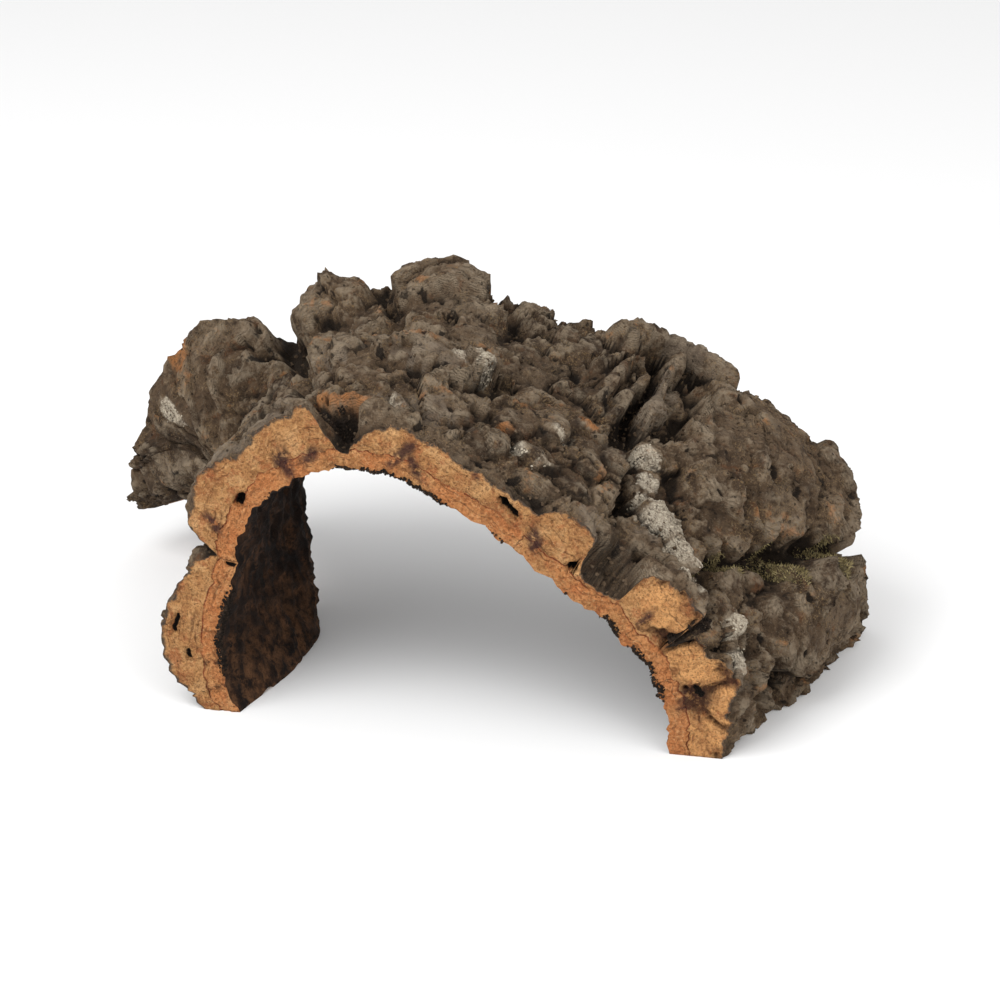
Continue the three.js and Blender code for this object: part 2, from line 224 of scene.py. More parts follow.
def smoothMax(a, b, width):
    near = np.maximum(width - np.abs(a - b), 0) / width
    return np.maximum(a, b) + near * near * width / 4


def splineWeights(count, t):  # Catmull-Rom through count points, run out straight at the ends
    place = np.clip(t * (count - 1), 0, count - 1 - 1e-9)
    first = place.astype(int)
    x = place - first
    parts = [-0.5 * x + x**2 - 0.5 * x**3, 1 - 2.5 * x**2 + 1.5 * x**3,
             0.5 * x + 2 * x**2 - 1.5 * x**3, -0.5 * x**2 + 0.5 * x**3]
    weights = np.zeros((len(t), count + 2))
    for k, part in enumerate(parts):
        np.add.at(weights, (np.arange(len(t)), first + k), part)
    weights[:, 1] += 2 * weights[:, 0]
    weights[:, 2] -= weights[:, 0]
    weights[:, count] += 2 * weights[:, count + 1]
    weights[:, count - 1] -= weights[:, count + 1]
    return weights[:, 1:count + 1]


def onNet(net, u, v):
    net = np.array(net, float)
    return np.einsum("va,ab...,ub->vu...", splineWeights(len(net), v), net, splineWeights(net.shape[1], u))


def insideFace(u, v):  # the left edge is lifted clear of the ground behind the left foot
    face = onNet(slabForm["inside"], u, v)
    lift, reach, rising, falling = slabForm["leftLift"]
    face[..., 2] += lift * (ease(*rising, v) * ease(*falling, v))[:, None] * ease(reach, 0, u)[None, :]
    return face


def tangents(u, v):
    step = 1e-3
    along = insideFace(np.minimum(u + step, 1), v) - insideFace(np.maximum(u - step, 0), v)
    deep = insideFace(u, np.minimum(v + step, 1)) - insideFace(u, np.maximum(v - step, 0))
    return unit(along), unit(deep)


def unit(vectors):
    return vectors / np.linalg.norm(vectors, axis=-1, keepdims=True)


def outward(u, v):  # level at the feet and within the plane of the cut
    along, deep = tangents(u, v)
    normal = unit(np.cross(along, deep))
    normal[..., 1] *= ease(0, 0.25, v)[:, None]
    normal[..., 2] *= (ease(0, 0.07, u) * ease(0, 0.07, 1 - u))[None, :]
    return unit(normal)


def raised(u, v, height):
    return insideFace(u, v) + outward(u, v) * height[..., None]


def onArch(u, v):
    return np.meshgrid(u * slabForm["archLength"], v * slabForm["slabDepth"])


def seededDraws(seed):
    state = seed
    while True:
        state = (state * 1664525 + 1013904223) % 2**32
        yield state / 2**32


def scatterDomes(spread):
    draws = seededDraws(spread["seed"])

    def between(low, high):
        return low + (high - low) * next(draws)

    domes = []
    for i in range(math.ceil(slabForm["archLength"] / spread["cell"])):
        for j in range(math.ceil(slabForm["slabDepth"] / spread["cell"])):
            place = ((i + between(0.1, 0.9)) * spread["cell"], (j + between(0.1, 0.9)) * spread["cell"])
            size = (between(*spread["radius"]), between(*spread["radius"]))
            rise = between(*spread["rise"])
            domes.append((place, size, rise, between(0, 2 * math.pi)))
    return domes


def domeHeight(dome, along, deep, axes, tilt, power):  # the steps that a dome reaches, and its height there
    (a, d), (sizeA, sizeD), rise, *heading = dome
    slack = 9.0  # outlines waver
    part = tuple(slice(*np.searchsorted(axis, (middle - size - slack, middle + size + slack)))
                 for axis, middle, size in zip(axes, (d, a), (sizeD, sizeA)))
    p = (along[part] - a) / sizeA
    q = (deep[part] - d) / sizeD
    lean = p * math.cos(heading[0]) + q * math.sin(heading[0]) if heading else 0
    return part, rise * (1 + tilt * lean) * np.maximum(1 - p * p - q * q, 0) ** power


def domeField(domes, along, deep, axes, tilt, width, power=slabForm["domePower"]):  # blended where they meet
    height = np.zeros(along.shape)
    for each in domes:
        part, dome = domeHeight(each, along, deep, axes, tilt, power)
        height[part] = np.where(dome > 0, smoothMax(height[part], dome, width), height[part])
    return height


def distanceTo(path, along, deep):
    least = np.full(along.shape, 1e9)
    for (a0, d0), (a1, d1) in zip(path, path[1:]):
        runA, runD = a1 - a0, d1 - d0
        t = np.clip(((along - a0) * runA + (deep - d0) * runD) / (runA**2 + runD**2), 0, 1)
        least = np.minimum(least, np.hypot(along - a0 - t * runA, deep - d0 - t * runD))
    return least


def fallOff(distance, width):
    return np.maximum(1 - (distance / width)**2, 0)


def waver(a, d):
    def waves(way):
        return sum(height * np.sin(rateA * a + rateD * d + begin)
                   for height, rateA, rateD, begin in slabForm["wavering"][way])

    return a + waves("along"), d + waves("deep")


def cellOf(x):
    return np.floor(x).astype(np.int64)


def cellDraw(i, j, seed):  # a number from 0 to 1 that belongs to one cell
    h = (i * 374761393 + j * 668265263 + seed * 974634777) & 0xffffffff
    h = ((h ^ (h >> 13)) * 1274126177) & 0xffffffff
    return (h ^ (h >> 16)) / 2**32


def brokenPlates(a, d, size, seed, tilt):  # level of the plate at each place, which one, and room to the next
    x, y = a / size, d / size
    i0, j0 = cellOf(x), cellOf(y)
    first, second = np.full(a.shape, 9.0), np.full(a.shape, 9.0)
    level, owner = np.zeros(a.shape), np.zeros(a.shape)
    for di in (-1, 0, 1):
        for dj in (-1, 0, 1):
            i, j = i0 + di, j0 + dj
            p = x - i - cellDraw(i, j, seed)
            q = y - j - cellDraw(i, j, seed + 1)
            room = np.hypot(p, q)
            turn = cellDraw(i, j, seed + 2) * 2 * math.pi
            lean = tilt * (p * np.cos(turn) + q * np.sin(turn))
            nearer = room < first
            second = np.where(nearer, first, np.minimum(second, room))
            level = np.where(nearer, cellDraw(i, j, seed + 3) - 0.3 + lean, level)
            owner = np.where(nearer, cellDraw(i, j, seed + 4), owner)
            first = np.minimum(first, room)
    return level, owner, second - first


def mainRelief(a, d, axes, broken):
    height = domeField(slabForm["lumps"], a, d, axes, 0, slabForm["blendWidth"])
    cut = np.zeros(a.shape)
    for path, width, depth, power in slabForm["crevices"]:
        cut = np.maximum(cut, depth * fallOff(distanceTo(path, a, d), width) ** power)
    plates = slabForm["plates"]
    level, owner, room = brokenPlates(a, d, plates["cell"], plates["seed"], plates["tilt"])
    atCut = plates["riseAtCut"]
    rise = plates["rise"] * (atCut + (1 - atCut) * ease(0, plates["cutMargin"], d))
    return height - cut + rise * broken * level, owner, room


def latticeNoise(x, y, seed):  # gradient noise in two directions, about -0.7 to 0.7
    x0, y0 = cellOf(x), cellOf(y)

    def corner(dx, dy):
        angle = cellDraw(x0 + dx, y0 + dy, seed) * 2 * math.pi
        return np.cos(angle) * (x - x0 - dx) + np.sin(angle) * (y - y0 - dy)

    sx = ease(0, 1, x - x0)
    sy = ease(0, 1, y - y0)
    low = corner(0, 0) * (1 - sx) + corner(1, 0) * sx
    high = corner(0, 1) * (1 - sx) + corner(1, 1) * sx
    return low * (1 - sy) + high * sy


def roughness(x, y, size, seed, octaves=3):
    return sum(latticeNoise(x * 2**k / size, y * 2**k / size, seed + k) / 2**k for k in range(octaves))


def rough(name, x, y):
    return sum(height * roughness(x, y, *rest) for height, *rest in uneven[name])


def blurred(field, radius):  # three box passes are close to a round blur
    for _ in range(3):
        for axis in (0, 1):
            padded = np.pad(field, [(radius + 1, radius) if k == axis else (0, 0) for k in (0, 1)], "edge")
            total = np.cumsum(padded, axis=axis)
            size = field.shape[axis]
            ahead = np.take(total, range(2 * radius + 1, 2 * radius + 1 + size), axis)
            field = (ahead - np.take(total, range(size), axis)) / (2 * radius + 1)
    return field


def spotMask(name, along, deep):  # the patches of one kind, with ragged borders
    mask = np.zeros(along.shape)
    for a, d, sizeA, sizeD, strength in spots[name]:
        near = np.maximum(1 - ((along - a) / sizeA)**2 - ((deep - d) / sizeD)**2, 0)
        mask = np.maximum(mask, strength * near)
    return ease(0.25, 0.55, mask + 0.75 * roughness(along, deep, 6, spotSeeds[name])) * (mask > 0)


def billow(x, y, size, seed, octaves=4):  # rounded lumps that meet in sharp creases, 0 to about 1
    def octave(k):
        return np.abs(latticeNoise(x * 2**k / size, y * 2**k / size, seed + k)) * 1.9 / 2**k

    return sum(octave(k) for k in range(octaves)) / 1.5


def ribbed(along, deep, a, d):  # upright ribs of uneven height, the creases between them, and where they are
    ribs = fineSkin["ribs"]
    across = [(x - middle) / reach for x, middle, reach in zip((along, deep), ribs["middle"], ribs["reach"])]
    patches = ease(-0.4, 0, rough("ribPatches", along, deep))
    there = ease(0, 0.5, 1 - across[0]**2 - across[1]**2) * patches
    headA, headD = ribs["heading"]
    wave = (headA * a + headD * d) / ribs["spacing"] + rough("ribWander", along, deep)
    rib = np.abs(np.sin(np.pi * wave)) ** 0.6
    tall = cellDraw(cellOf(wave), 0, ribs["seed"])
    return ribs["rise"] * there * (rib * (0.4 + tall) - 0.6), there * ease(0.45, 0.15, rib), there


def scaleField(a, d, axes):  # height of the overlapping plates, and which one lies on top
    height, whose = np.zeros(a.shape), np.zeros(a.shape)
    for k, each in enumerate(fineSkin["scales"]):
        part, plate = domeHeight(each, a, d, axes, *fineSkin["scaleEdge"])
        whose[part] = np.where(plate > height[part], k + 1, whose[part])
        height[part] = np.maximum(height[part], plate)
    return height, whose


def walked(face):  # true distances over a face: along the arch from its crown, and in depth from the cut
    along = np.cumsum(np.linalg.norm(np.diff(face, axis=1, prepend=face[:, :1]), axis=-1), axis=1)
    deep = np.cumsum(np.linalg.norm(np.diff(face, axis=0, prepend=face[:1]), axis=-1), axis=0)
    return along - along[:, [along.shape[1] // 2]], deep


def addStraps(height, seam, calm, along, deep, a, d):
    slimness = 1 + rough("strapWidth", along, deep)
    knobbly = rough("strapHeight", along, deep)
    parted = ease(-0.3, 0.1, rough("strapSeams", along, deep))
    for (path, width, rise), (slimmer, taller) in zip(slabForm["ridges"], fineSkin["straps"]):
        away = distanceTo(path, a, d) * (slimmer * slimness)
        proud = (taller * rise + knobbly) * fallOff(away, width) ** 0.6
        height = np.where(away < width, np.maximum(height, proud), height)
        seam = np.maximum(seam, fallOff(away - width - 0.9, 1.7) * parted)
        calm = np.maximum(calm, 0.3 * ease(0, 0.4, fallOff(away, width)))
    return height, seam, calm


def addScales(height, seam, calm, along, deep, axes, a, d):
    scales, whose = scaleField(a, d, axes)
    bed = domeField([fineSkin["scaleBed"]], along, deep, axes, 0, fineSkin["blendWidth"], 0.25)
    height = np.where(bed > 0, smoothMax(height, np.maximum(bed, scales), 0.6), height)
    border = np.zeros(whose.shape)
    border[:, 1:] += whose[:, 1:] != whose[:, :-1]
    border[1:] += whose[1:] != whose[:-1]
    seam = np.maximum(seam, np.clip(1.4 * blurred(border, 1), 0, 1))
    return height, seam, np.maximum(calm, 0.8 * ease(0, 3, scales))


def fineRelief(along, deep, x, y):  # x and y are the same places in true distances
    axes = deep[:, 0], along[0]
    fineBlend = fineSkin["blendWidth"]
    pushA, pushD = rough("pushAlong", x, y), rough("pushDeep", x, y)
    a, d = along + pushA, deep + pushD
    p, q = x + pushA, y + pushD

    def partWay(shareA, shareD):
        return along + shareA * (a - along), deep + shareD * (d - deep)

    edge = ease(0, fineSkin["cutMargin"], deep)  # the cut keeps the main outline
    calm = np.maximum(spotMask("grey", along, deep), spotMask("calm", along, deep))
    broken = 1 - 0.5 * blurred(calm, 4)
    height, owner, room = mainRelief(*waver(*partWay(0.4 + 0.6 * edge, edge)), axes, broken)
    seam = ease(0.1, 0.0, room) * ease(-0.3, 0.1, rough("seamPatches", along, deep)) * edge * (1 - 0.5 * calm)
    height, seam, calm = addStraps(height, seam, calm, along, deep, *partWay(0.25, 0.25))
    for path, width, depth, power in fineSkin["troughs"]:
        height -= depth * fallOff(distanceTo(path, *partWay(0.25, 0.25)), width) ** power
    height, seam, calm = addScales(height, seam, calm, along, deep, axes, *partWay(0.7, 0.7))
    height += domeField(fineSkin["knobs"], along, deep, axes, 0, fineBlend)
    smooth = height + rough("layerSag", along, deep)
    height -= fineSkin["seam"] * seam
    ribs, creases, there = ribbed(along, deep, a, d)
    quiet = 1 - 0.65 * np.maximum(calm, there)
    height += ribs
    seam = np.maximum(seam, 0.8 * creases)
    cragWidth, cragHeight, cragSeed = fineSkin["crag"]
    height += quiet * cragHeight * (billow(p, q * 0.75, cragWidth, cragSeed) - 0.42)
    layered = (0.3 + 0.7 * ease(0.4, 0.6, owner)) * ease(-0.4, 0.0, rough("layerPatches", along, deep))
    layered = np.maximum(layered, 0.8 * calm)
    for size, rise, seed in fineSkin["flakes"]:
        level, _, gap = brokenPlates(p, q, size, seed, 1.0)
        flake = rise * (level - 0.5 * ease(0.12, 0.0, gap)) * (0.4 + 0.6 * edge)
        height += quiet * (1 - 0.6 * layered) * flake
    period, share = fineSkin["strata"]
    level = smooth / period + rough("layerWander", x, y)
    step = np.floor(level)
    height += share * layered * (step + ease(0.6, 1.0, level - step) - level) * period
    grains = fineSkin["grains"]
    grain = domeField(scatterDomes(grains), along, deep, axes, grains["tilt"], fineBlend)
    height += quiet * (1 - 0.8 * layered) * grain
    height += (1 - 0.4 * calm) * (rough("crust", x, y) + rough("bumps", p, q))
    pit = domeField(scatterDomes(fineSkin["pits"]), a, d, axes, 0, fineBlend)
    marks = {"pit": np.clip(pit / 2.4, 0, 1), "level": level, "seam": seam, "layered": layered, "tone": owner}
    return height - pit, marks


def evenSteps(count):  # steps along the arch that are equally long on the outer face, half way in
    u = np.linspace(0, 1, 800)
    middle = np.array([0.45])
    face = raised(u, middle, onNet(slabForm["thickness"], u, middle))[0]
    run = np.concatenate([[0], np.cumsum(np.linalg.norm(np.diff(face, axis=0), axis=1))])
    return np.interp(np.linspace(0, run[-1], count + 1), run, u)


def within(spot, along, deep):
    a, d, reach = spot
    return fallOff(np.hypot(along - a, deep - d), reach)


def skinMarks(along, deep, height, top, layered):  # where each colour and each kind of litter lies, 0 to 1
    marks = {name: spotMask(name, along, deep) for name in ("pale", "fresh", "moss", "grey")}
    marks["shade"] = blurred(spotMask("shade", along, deep), 2)
    # the recess's bare floor, which the bark's finish darkens as painted shade
    marks["bed"] = ease(0, 0.4, within(fineSkin["recessBed"], along, deep)) * ease(6, 1, height)
    marks["lane"] = along / markSpan["lane"]
    # painted shade: how far each place lies below its neighbours, which the bark's finish darkens
    marks["hollow"] = np.clip((blurred(height, 6) - height) / 6, 0, 1) * (1 - 0.7 * marks["bed"])
    marks["tip"] = np.clip((height - blurred(height, 4)) / 3, 0, 1)
    behindCut = ease(0, 4, deep)
    clear = ease(5, 10, top) * behindCut  # nothing lies on the ground or over the cut
    marks["soil"] = 0.5 * spotMask("soil", along, deep) * behindCut
    marks["crumb"] = ease(-0.15, 0.35, rough("crumbPatches", along, deep)) * clear
    marks["crumb"] *= (1 - marks["soil"]) * ease(0.02, 0.3, marks["hollow"])
    patches = ease(0.0, 0.4, rough("flakePatches", along, deep))
    marks["flake"] = patches * layered * clear * (1 - marks["fresh"])
    marks["crust"] = marks["pale"] * clear * ease(0.2, 0.0, marks["hollow"])
    marks["tuft"] = marks["moss"] * clear
    return marks


def leanOut(outer, height, along, deep, u, v):  # the upper parts of lumps stand out over the lower ones
    broad = blurred(height, 2)
    slopeD, slopeA = np.gradient(broad, deep[:, 0], along[0])
    upper = ease(-3, 3, broad - blurred(height, 8)) * fineSkin["overhang"]
    alongWay, deepWay = tangents(u, v)
    outer -= alongWay * (upper * np.clip(slopeA, -1.5, 1.5))[..., None] * ease(0, 0.05, u)[None, :, None]
    outer -= deepWay * (upper * np.clip(slopeD, -1.5, 1.5) * ease(0, 0.06, v)[:, None])[..., None]


def insideSkin(u, v, ragged, chipped):
    along, deep = onArch(u, v)
    rise, (alongA, deepA), (alongB, deepB) = slabForm["ripple"]
    across, back = u[None], v[:, None]
    swell = rise * np.sin(alongA * across + deepA * back) * np.sin(alongB * across + deepB * back)
    fade = ease(0, 0.02, u) * ease(0, 0.02, 1 - u)
    furrow = rough("furrows", along * 0.6, deep * 2.0) + rough("insideBumps", along, deep)
    inner = raised(u, v, (swell + furrow) * fade)
    inner[..., 1] += ragged
    inner[0, :, 1] = 0
    for foot in (0, -1):
        inner[:, foot, 2] += chipped
    edge = ease(4.0, 0.5, deep) * ease(9, 15, inner[..., 2])
    clumps = np.max([fallOff(along - a, reach) for a, reach in soilEdge], axis=0)
    soil = edge * (0.25 * ease(0.15, 0.4, rough("soilPatches", along, deep)) + clumps)
    # painted shade: the furrows' low places, which the inside's finish darkens
    return inner, {"hollow": np.clip(0.5 - furrow / 3, 0, 1), "soil": soil}


def buildSkin():
    nu, nv = fineSkin["steps"]
    u, v = evenSteps(nu), np.linspace(0, 1, nv + 1)
    along, deep = onArch(u, v)
    bare = onNet(slabForm["thickness"], u, v)
    height, marks = fineRelief(along, deep, *walked(raised(u, v, bare)))
    thickness = np.maximum(bare + height, slabForm["leastThickness"])
    lined = rough("recessLines", along * 2.4, deep * 0.5) + rough("recessGrain", along, deep)
    thickness += within(fineSkin["recessLines"], along, deep) * ease(0, 3, deep) * np.abs(lined)
    outer = raised(u, v, thickness)
    leanOut(outer, height, along, deep, u, v)
    waves = sum(rise * np.sin(rate * u + begin) for rise, rate, begin in fineSkin["ragged"])
    ragged = ease(0.8, 1, v)[:, None] * waves[None, :]
    outer[..., 1] += ragged
    marks.update(skinMarks(along, deep, height, outer[..., 2], marks["layered"]))
    depths = deep[:, 0]
    chipped = np.maximum(rough("footChips", depths, 0 * v), 0) * ease(4, 14, depths)
    for foot in (0, -1):  # the feet's edges are crumbled behind the cut
        outer[:, foot, 2] += np.roll(chipped, 9)
    every = fineSkin["coarser"]
    inner, marksI = insideSkin(u[::every], v[::every], ragged[::every, ::every], chipped[::every])
    print("relief ready")
    return u, v, outer, marks, inner, marksI


def loopOf(grid):  # the grid's border, from the front left corner round by the right
    return np.concatenate([grid[0, :-1], grid[:-1, -1], grid[-1, :0:-1], grid[:0:-1, 0]])


def ovalReach(spot, x, z, wobble):  # 1 on the rim of a turned oval, less within
    px, pz, sizeX, sizeZ, turn = spot[:5]
    c, s = math.cos(math.radians(turn)), math.sin(math.radians(turn))
    p = ((x - px) * c + (z - pz) * s) / sizeX
    q = ((z - pz) * c - (x - px) * s) / sizeZ
    return np.hypot(p, q) + wobble


def cutSpots(x, z, layer, front):  # holes, stains and blocks of the sawn face, with painted shade in the clefts between the blocks, and how far each place is sunk
    wobble = 0.35 * rough("holeRims", x, z)
    hole, stain, dent = (np.zeros(x.shape) for _ in range(3))
    for spot in cutHoles:
        inHole = ease(1.15, 0.75, ovalReach(spot, x, z, wobble)) * front
        hole = np.maximum(hole, inHole)
        dent = np.maximum(dent, spot[5] * inHole)
    for spot in cutStains:
        stain = np.maximum(stain, ease(1.25, 0.45, ovalReach(spot, x, z, wobble)) * front)
    nearest, second = np.sort([ovalReach(spot, x, z, wobble) for spot in cutBlocks], axis=0)[:2]
    cleft = ease(0.3, 0.02, second - nearest)  # between one block and the next
    apart = np.maximum(cleft * ease(2.0, 1.3, nearest), ease(0.85, 1.25, nearest)) * ease(80, 90, x)
    apart *= ease(9, 12, layer) * front  # the layers next to the inside run through
    block = ease(1.2, 0.8, nearest) * ease(78, 88, x) * ease(7, 10, layer) * front
    # painted shade: the clefts between the blocks, and the sunk face around them, take the stains' dark
    # colour
    return hole, np.maximum(stain, 0.9 * apart), block, np.maximum(dent, 5.0 * apart)


def cutFace(outerLoop, innerLoop, u, v):
    nu, nv = len(u) - 1, len(v) - 1
    share = np.linspace(0, 1, fineSkin["across"] + 1)[:, None]
    points = innerLoop[None] * (1 - share)[..., None] + outerLoop[None] * share[..., None]
    layer = share * np.linalg.norm(outerLoop - innerLoop, axis=1)[None]
    run = np.arange(len(outerLoop))[None] * slabForm["archLength"] / nu + 0 * share
    sides = np.repeat(("front", "right", "back", "left"), (nu, nv, nu, nv))[None]
    front, back = sides == "front", sides == "back"
    foot = (sides == "right") | (sides == "left")
    body = np.sin(np.pi * share) ** 0.5  # no move at either border
    x, z = points[..., 0], points[..., 2]
    hole, stain, block, dent = cutSpots(x, z, layer, front)
    seam = fallOff(layer - fineSkin["youngLayers"] - rough("seamWander", run, layer * 0), 0.9)
    points[..., 1] += np.where(front, (dent + 0.5 * seam + rough("sawMarks", x, z)) * body, 0)
    crumble = rough("crumble", run, layer)
    points[..., 1] += np.where(back, crumble * body, 0)
    points[..., 2] += np.where(foot, np.maximum(crumble, 0) * body * 0.6, 0)
    marks = {"hole": hole, "stain": stain, "block": block, "layer": layer / markSpan["layer"],
             "share": share + 0 * layer, "run": run / markSpan["run"],
             "old": back * 1.0 + foot * 0.7 + 0 * share}
    return points, marks


def gridQuads(ids):
    return np.stack([ids[:-1, :-1], ids[:-1, 1:], ids[1:, 1:], ids[1:, :-1]], -1).reshape(-1, 4)


def slabMesh(u, v, outer, marks, inner, marksI):
    outerIds = np.arange(outer[..., 0].size).reshape(outer.shape[:2])
    innerIds = np.arange(inner[..., 0].size).reshape(inner.shape[:2]) + outerIds.size
    evenOuter = loopOf(outer)
    evenInner = loopOf(widened(inner))
    points, rimMarks = cutFace(evenOuter, evenInner, u, v)
    count = len(evenOuter)
    rimIds = np.arange(points[1:-1, :, 0].size).reshape(-1, count) + outerIds.size + innerIds.size
    outerLoop, innerLoop = loopOf(outerIds), loopOf(innerIds)
    rings = np.vstack([rimIds, outerLoop[None]])
    rings = np.hstack([rings, rings[:, :1]])
    rimQuads = gridQuads(rings)
    every = fineSkin["coarser"]
    near, far = innerLoop, np.roll(innerLoop, -1)
    half = every // 2
    joins = [(near, far, rings[0, half::every])]
    for k in range(every):
        low, high = rings[0, k:-1:every], rings[0, k + 1::every]
        joins.append((near if k < half else far, high, low))
    stitches = np.concatenate([np.stack(corners, -1) for corners in joins])
    quads = [gridQuads(outerIds), gridQuads(innerIds)[:, ::-1], rimQuads]
    faces = [f.tolist() for f in (*quads, stitches)]
    parts = [outer.reshape(-1, 3), inner.reshape(-1, 3), points[1:-1].reshape(-1, 3)]
    place = np.vstack(parts) + np.array(slabForm["centreShift"])
    place[:, 2] = np.maximum(place[:, 2], 0)
    mesh = bpy.data.meshes.new("barkSlab")
    mesh.from_pydata((place * mm).tolist(), [], sum(faces, []))
    rows = {name: value[1:-1] for name, value in rimMarks.items()}
    held = [(marks, outerIds), (marksI, innerIds), (rows, rimIds)]
    for name in sorted({*marks, *marksI, *rows}):
        values = [part.get(name, np.zeros(ids.shape)).ravel() for part, ids in held]
        if name == "share":
            values[0] = values[0] + 1
        if name in ("layer", "run", "old"):  # borders take the rim's own values
            values[0][outerLoop] = rimMarks[name][-1]
            values[1][innerLoop - outerIds.size] = rimMarks[name][0][::every]
        attribute = mesh.attributes.new(name, "FLOAT", "POINT")
        attribute.data.foreach_set("value", np.concatenate(values).astype(np.float32))
    kinds = np.repeat([0, 2, 1, 1], [len(f) for f in faces]).astype(np.int32)  # bark, inside, sawn, sawn
    mesh.polygons.foreach_set("material_index", kinds)
    mesh.polygons.foreach_set("use_smooth", np.ones(len(kinds), bool))
    mesh.update()
    markSharp(mesh, kinds)
    print("slab mesh:", len(mesh.vertices), "points,", triangleCount(mesh), "triangles")
    return mesh


def triangleCount(mesh):
    return sum(len(face.vertices) - 2 for face in mesh.polygons)


def widened(grid):  # as many steps as the outer face has, the new ones straight between
    every = fineSkin["coarser"]
    for axis in (0, 1):
        size = grid.shape[axis]
        place = np.arange((size - 1) * every + 1) / every
        first = np.minimum(place.astype(int), size - 2)
        share = (place - first).reshape([-1 if k == axis else 1 for k in range(3)])
        grid = np.take(grid, first, axis) * (1 - share) + np.take(grid, first + 1, axis) * share
    return grid


def markSharp(mesh, kinds):  # the borders between skin, cut and inside stay crisp
    loops = np.empty(len(mesh.loops), np.int64)
    mesh.loops.foreach_get("edge_index", loops)
    perLoop = np.repeat(kinds, [face.loop_total for face in mesh.polygons])
    lowest = np.full(len(mesh.edges), 9)
    highest = np.full(len(mesh.edges), -1)
    np.minimum.at(lowest, loops, perLoop)
    np.maximum.at(highest, loops, perLoop)
    attribute = mesh.attributes.new("sharp_edge", "BOOLEAN", "EDGE")
    attribute.data.foreach_set("value", lowest != highest)


class Wire:  # a socket in a node tree, so that sums on sockets read as sums
    def __init__(self, tree, socket=None):
        self.tree = tree
        self.socket = socket

    def node(self, kind, settings=None, inputs=None, output=0):
        made = self.tree.nodes.new(kind)
        for name, value in (settings or {}).items():
            if name == "stops":
                ramp = made.color_ramp.elements
                while len(ramp) < len(value):
                    ramp.new(0.5)
                for stop, (place, colour) in zip(ramp, value):
                    stop.position = place
                    stop.color = (*colour, 1)
            else:
                setattr(made, name, value)
        for name, value in (inputs or {}).items():
            if isinstance(value, Wire):
                self.tree.links.new(value.socket, made.inputs[name])
            else:
                made.inputs[name].default_value = value
        if output is None:
            return {socket.name: Wire(self.tree, socket) for socket in made.outputs}
        return Wire(self.tree, made.outputs[output] if made.outputs else None)

    def maths(self, operation, *values):
        return self.node("ShaderNodeMath", {"operation": operation}, dict(enumerate(values)))

    def __add__(self, other):
        return self.maths("ADD", self, other)

    def __sub__(self, other):
        return self.maths("SUBTRACT", self, other)

    def __rsub__(self, other):
        return self.maths("SUBTRACT", other, self)

    def __mul__(self, other):
        return self.maths("MULTIPLY", self, other)

    __radd__, __rmul__ = __add__, __mul__

    def between(self, low, high):  # 0 below low, 1 above high, smooth between
        inputs = {"Value": self, "From Min": low, "From Max": high}
        return self.node("ShaderNodeMapRange", {"interpolation_type": "SMOOTHSTEP"}, inputs)

    def absolute(self):
        return self.maths("ABSOLUTE", self)

    def fraction(self):
        return self.maths("FRACT", self)

    def mark(self, name):
        return self.node("ShaderNodeAttribute", {"attribute_name": name}, output="Fac")

    def noise(self, size, detail=4.0, rough=0.6, at=None, output="Fac"):  # size in millimetres
        inputs = {"Scale": 1000 / size, "Detail": detail, "Roughness": rough}
        inputs["Vector"] = at or self.place()
        return self.node("ShaderNodeTexNoise", None, inputs, output)

    def cells(self, size, at=None, output="Distance"):
        inputs = {"Scale": 1000 / size, "Vector": at or self.place()}
        return self.node("ShaderNodeTexVoronoi", None, inputs, output)

    def place(self):
        return self.node("ShaderNodeTexCoord", output="Object")

    def bent(self, size, push):  # the place, pushed about so that cells lose their straight sides
        inputs = {0: self.noise(size, 3, output="Color"), 1: (push * mm,) * 3, 2: self.place()}
        return self.node("ShaderNodeVectorMath", {"operation": "MULTIPLY_ADD"}, inputs)

    def joined(self, x, y, z=0.0):
        return self.node("ShaderNodeCombineXYZ", None, {"X": x, "Y": y, "Z": z})

    def coated(self, looks, coats):  # each coat is a colour's name, and how much of it shows
        colour = self
        for name, share in coats:
            inputs = {0: share, 6: colour, 7: (*looks[name], 1)}
            colour = self.node("ShaderNodeMix", {"data_type": "RGBA"}, inputs, 2)
        return colour

    def ramp(self, *stops):
        return self.node("ShaderNodeValToRGB", {"stops": stops}, {"Fac": self}, "Color")


def startMaterial(name):
    material = bpy.data.materials.new(name)
    material.use_nodes = True
    material.node_tree.nodes.clear()
    return material, Wire(material.node_tree)


def finishMaterial(wire, colour, rough, bumps):
    normal = None
    for height, depth in bumps:  # depth in millimetres
        inputs = {"Height": height, "Distance": depth * mm}
        if normal:
            inputs["Normal"] = normal
        normal = wire.node("ShaderNodeBump", None, inputs)
    inputs = {"Base Color": colour, "Roughness": rough, "Specular IOR Level": 0.18, "Normal": normal}
    shader = wire.node("ShaderNodeBsdfPrincipled", None, inputs)
    wire.node("ShaderNodeOutputMaterial", None, {"Surface": shader})


barkLooks = {
    "deep": (0.009, 0.006, 0.004), "dark": (0.03, 0.0185, 0.011), "brown": (0.078, 0.049, 0.028),
    "tan": (0.11, 0.073, 0.044), "grey": (0.138, 0.1, 0.066), "bleached": (0.25, 0.195, 0.135),
    "rust": (0.11, 0.046, 0.019), "pale": (0.52, 0.455, 0.355), "fresh": (0.36, 0.15, 0.052),
    "ochre": (0.2, 0.128, 0.058), "moss": (0.105, 0.083, 0.036), "smooth": (0.19, 0.152, 0.115),
}


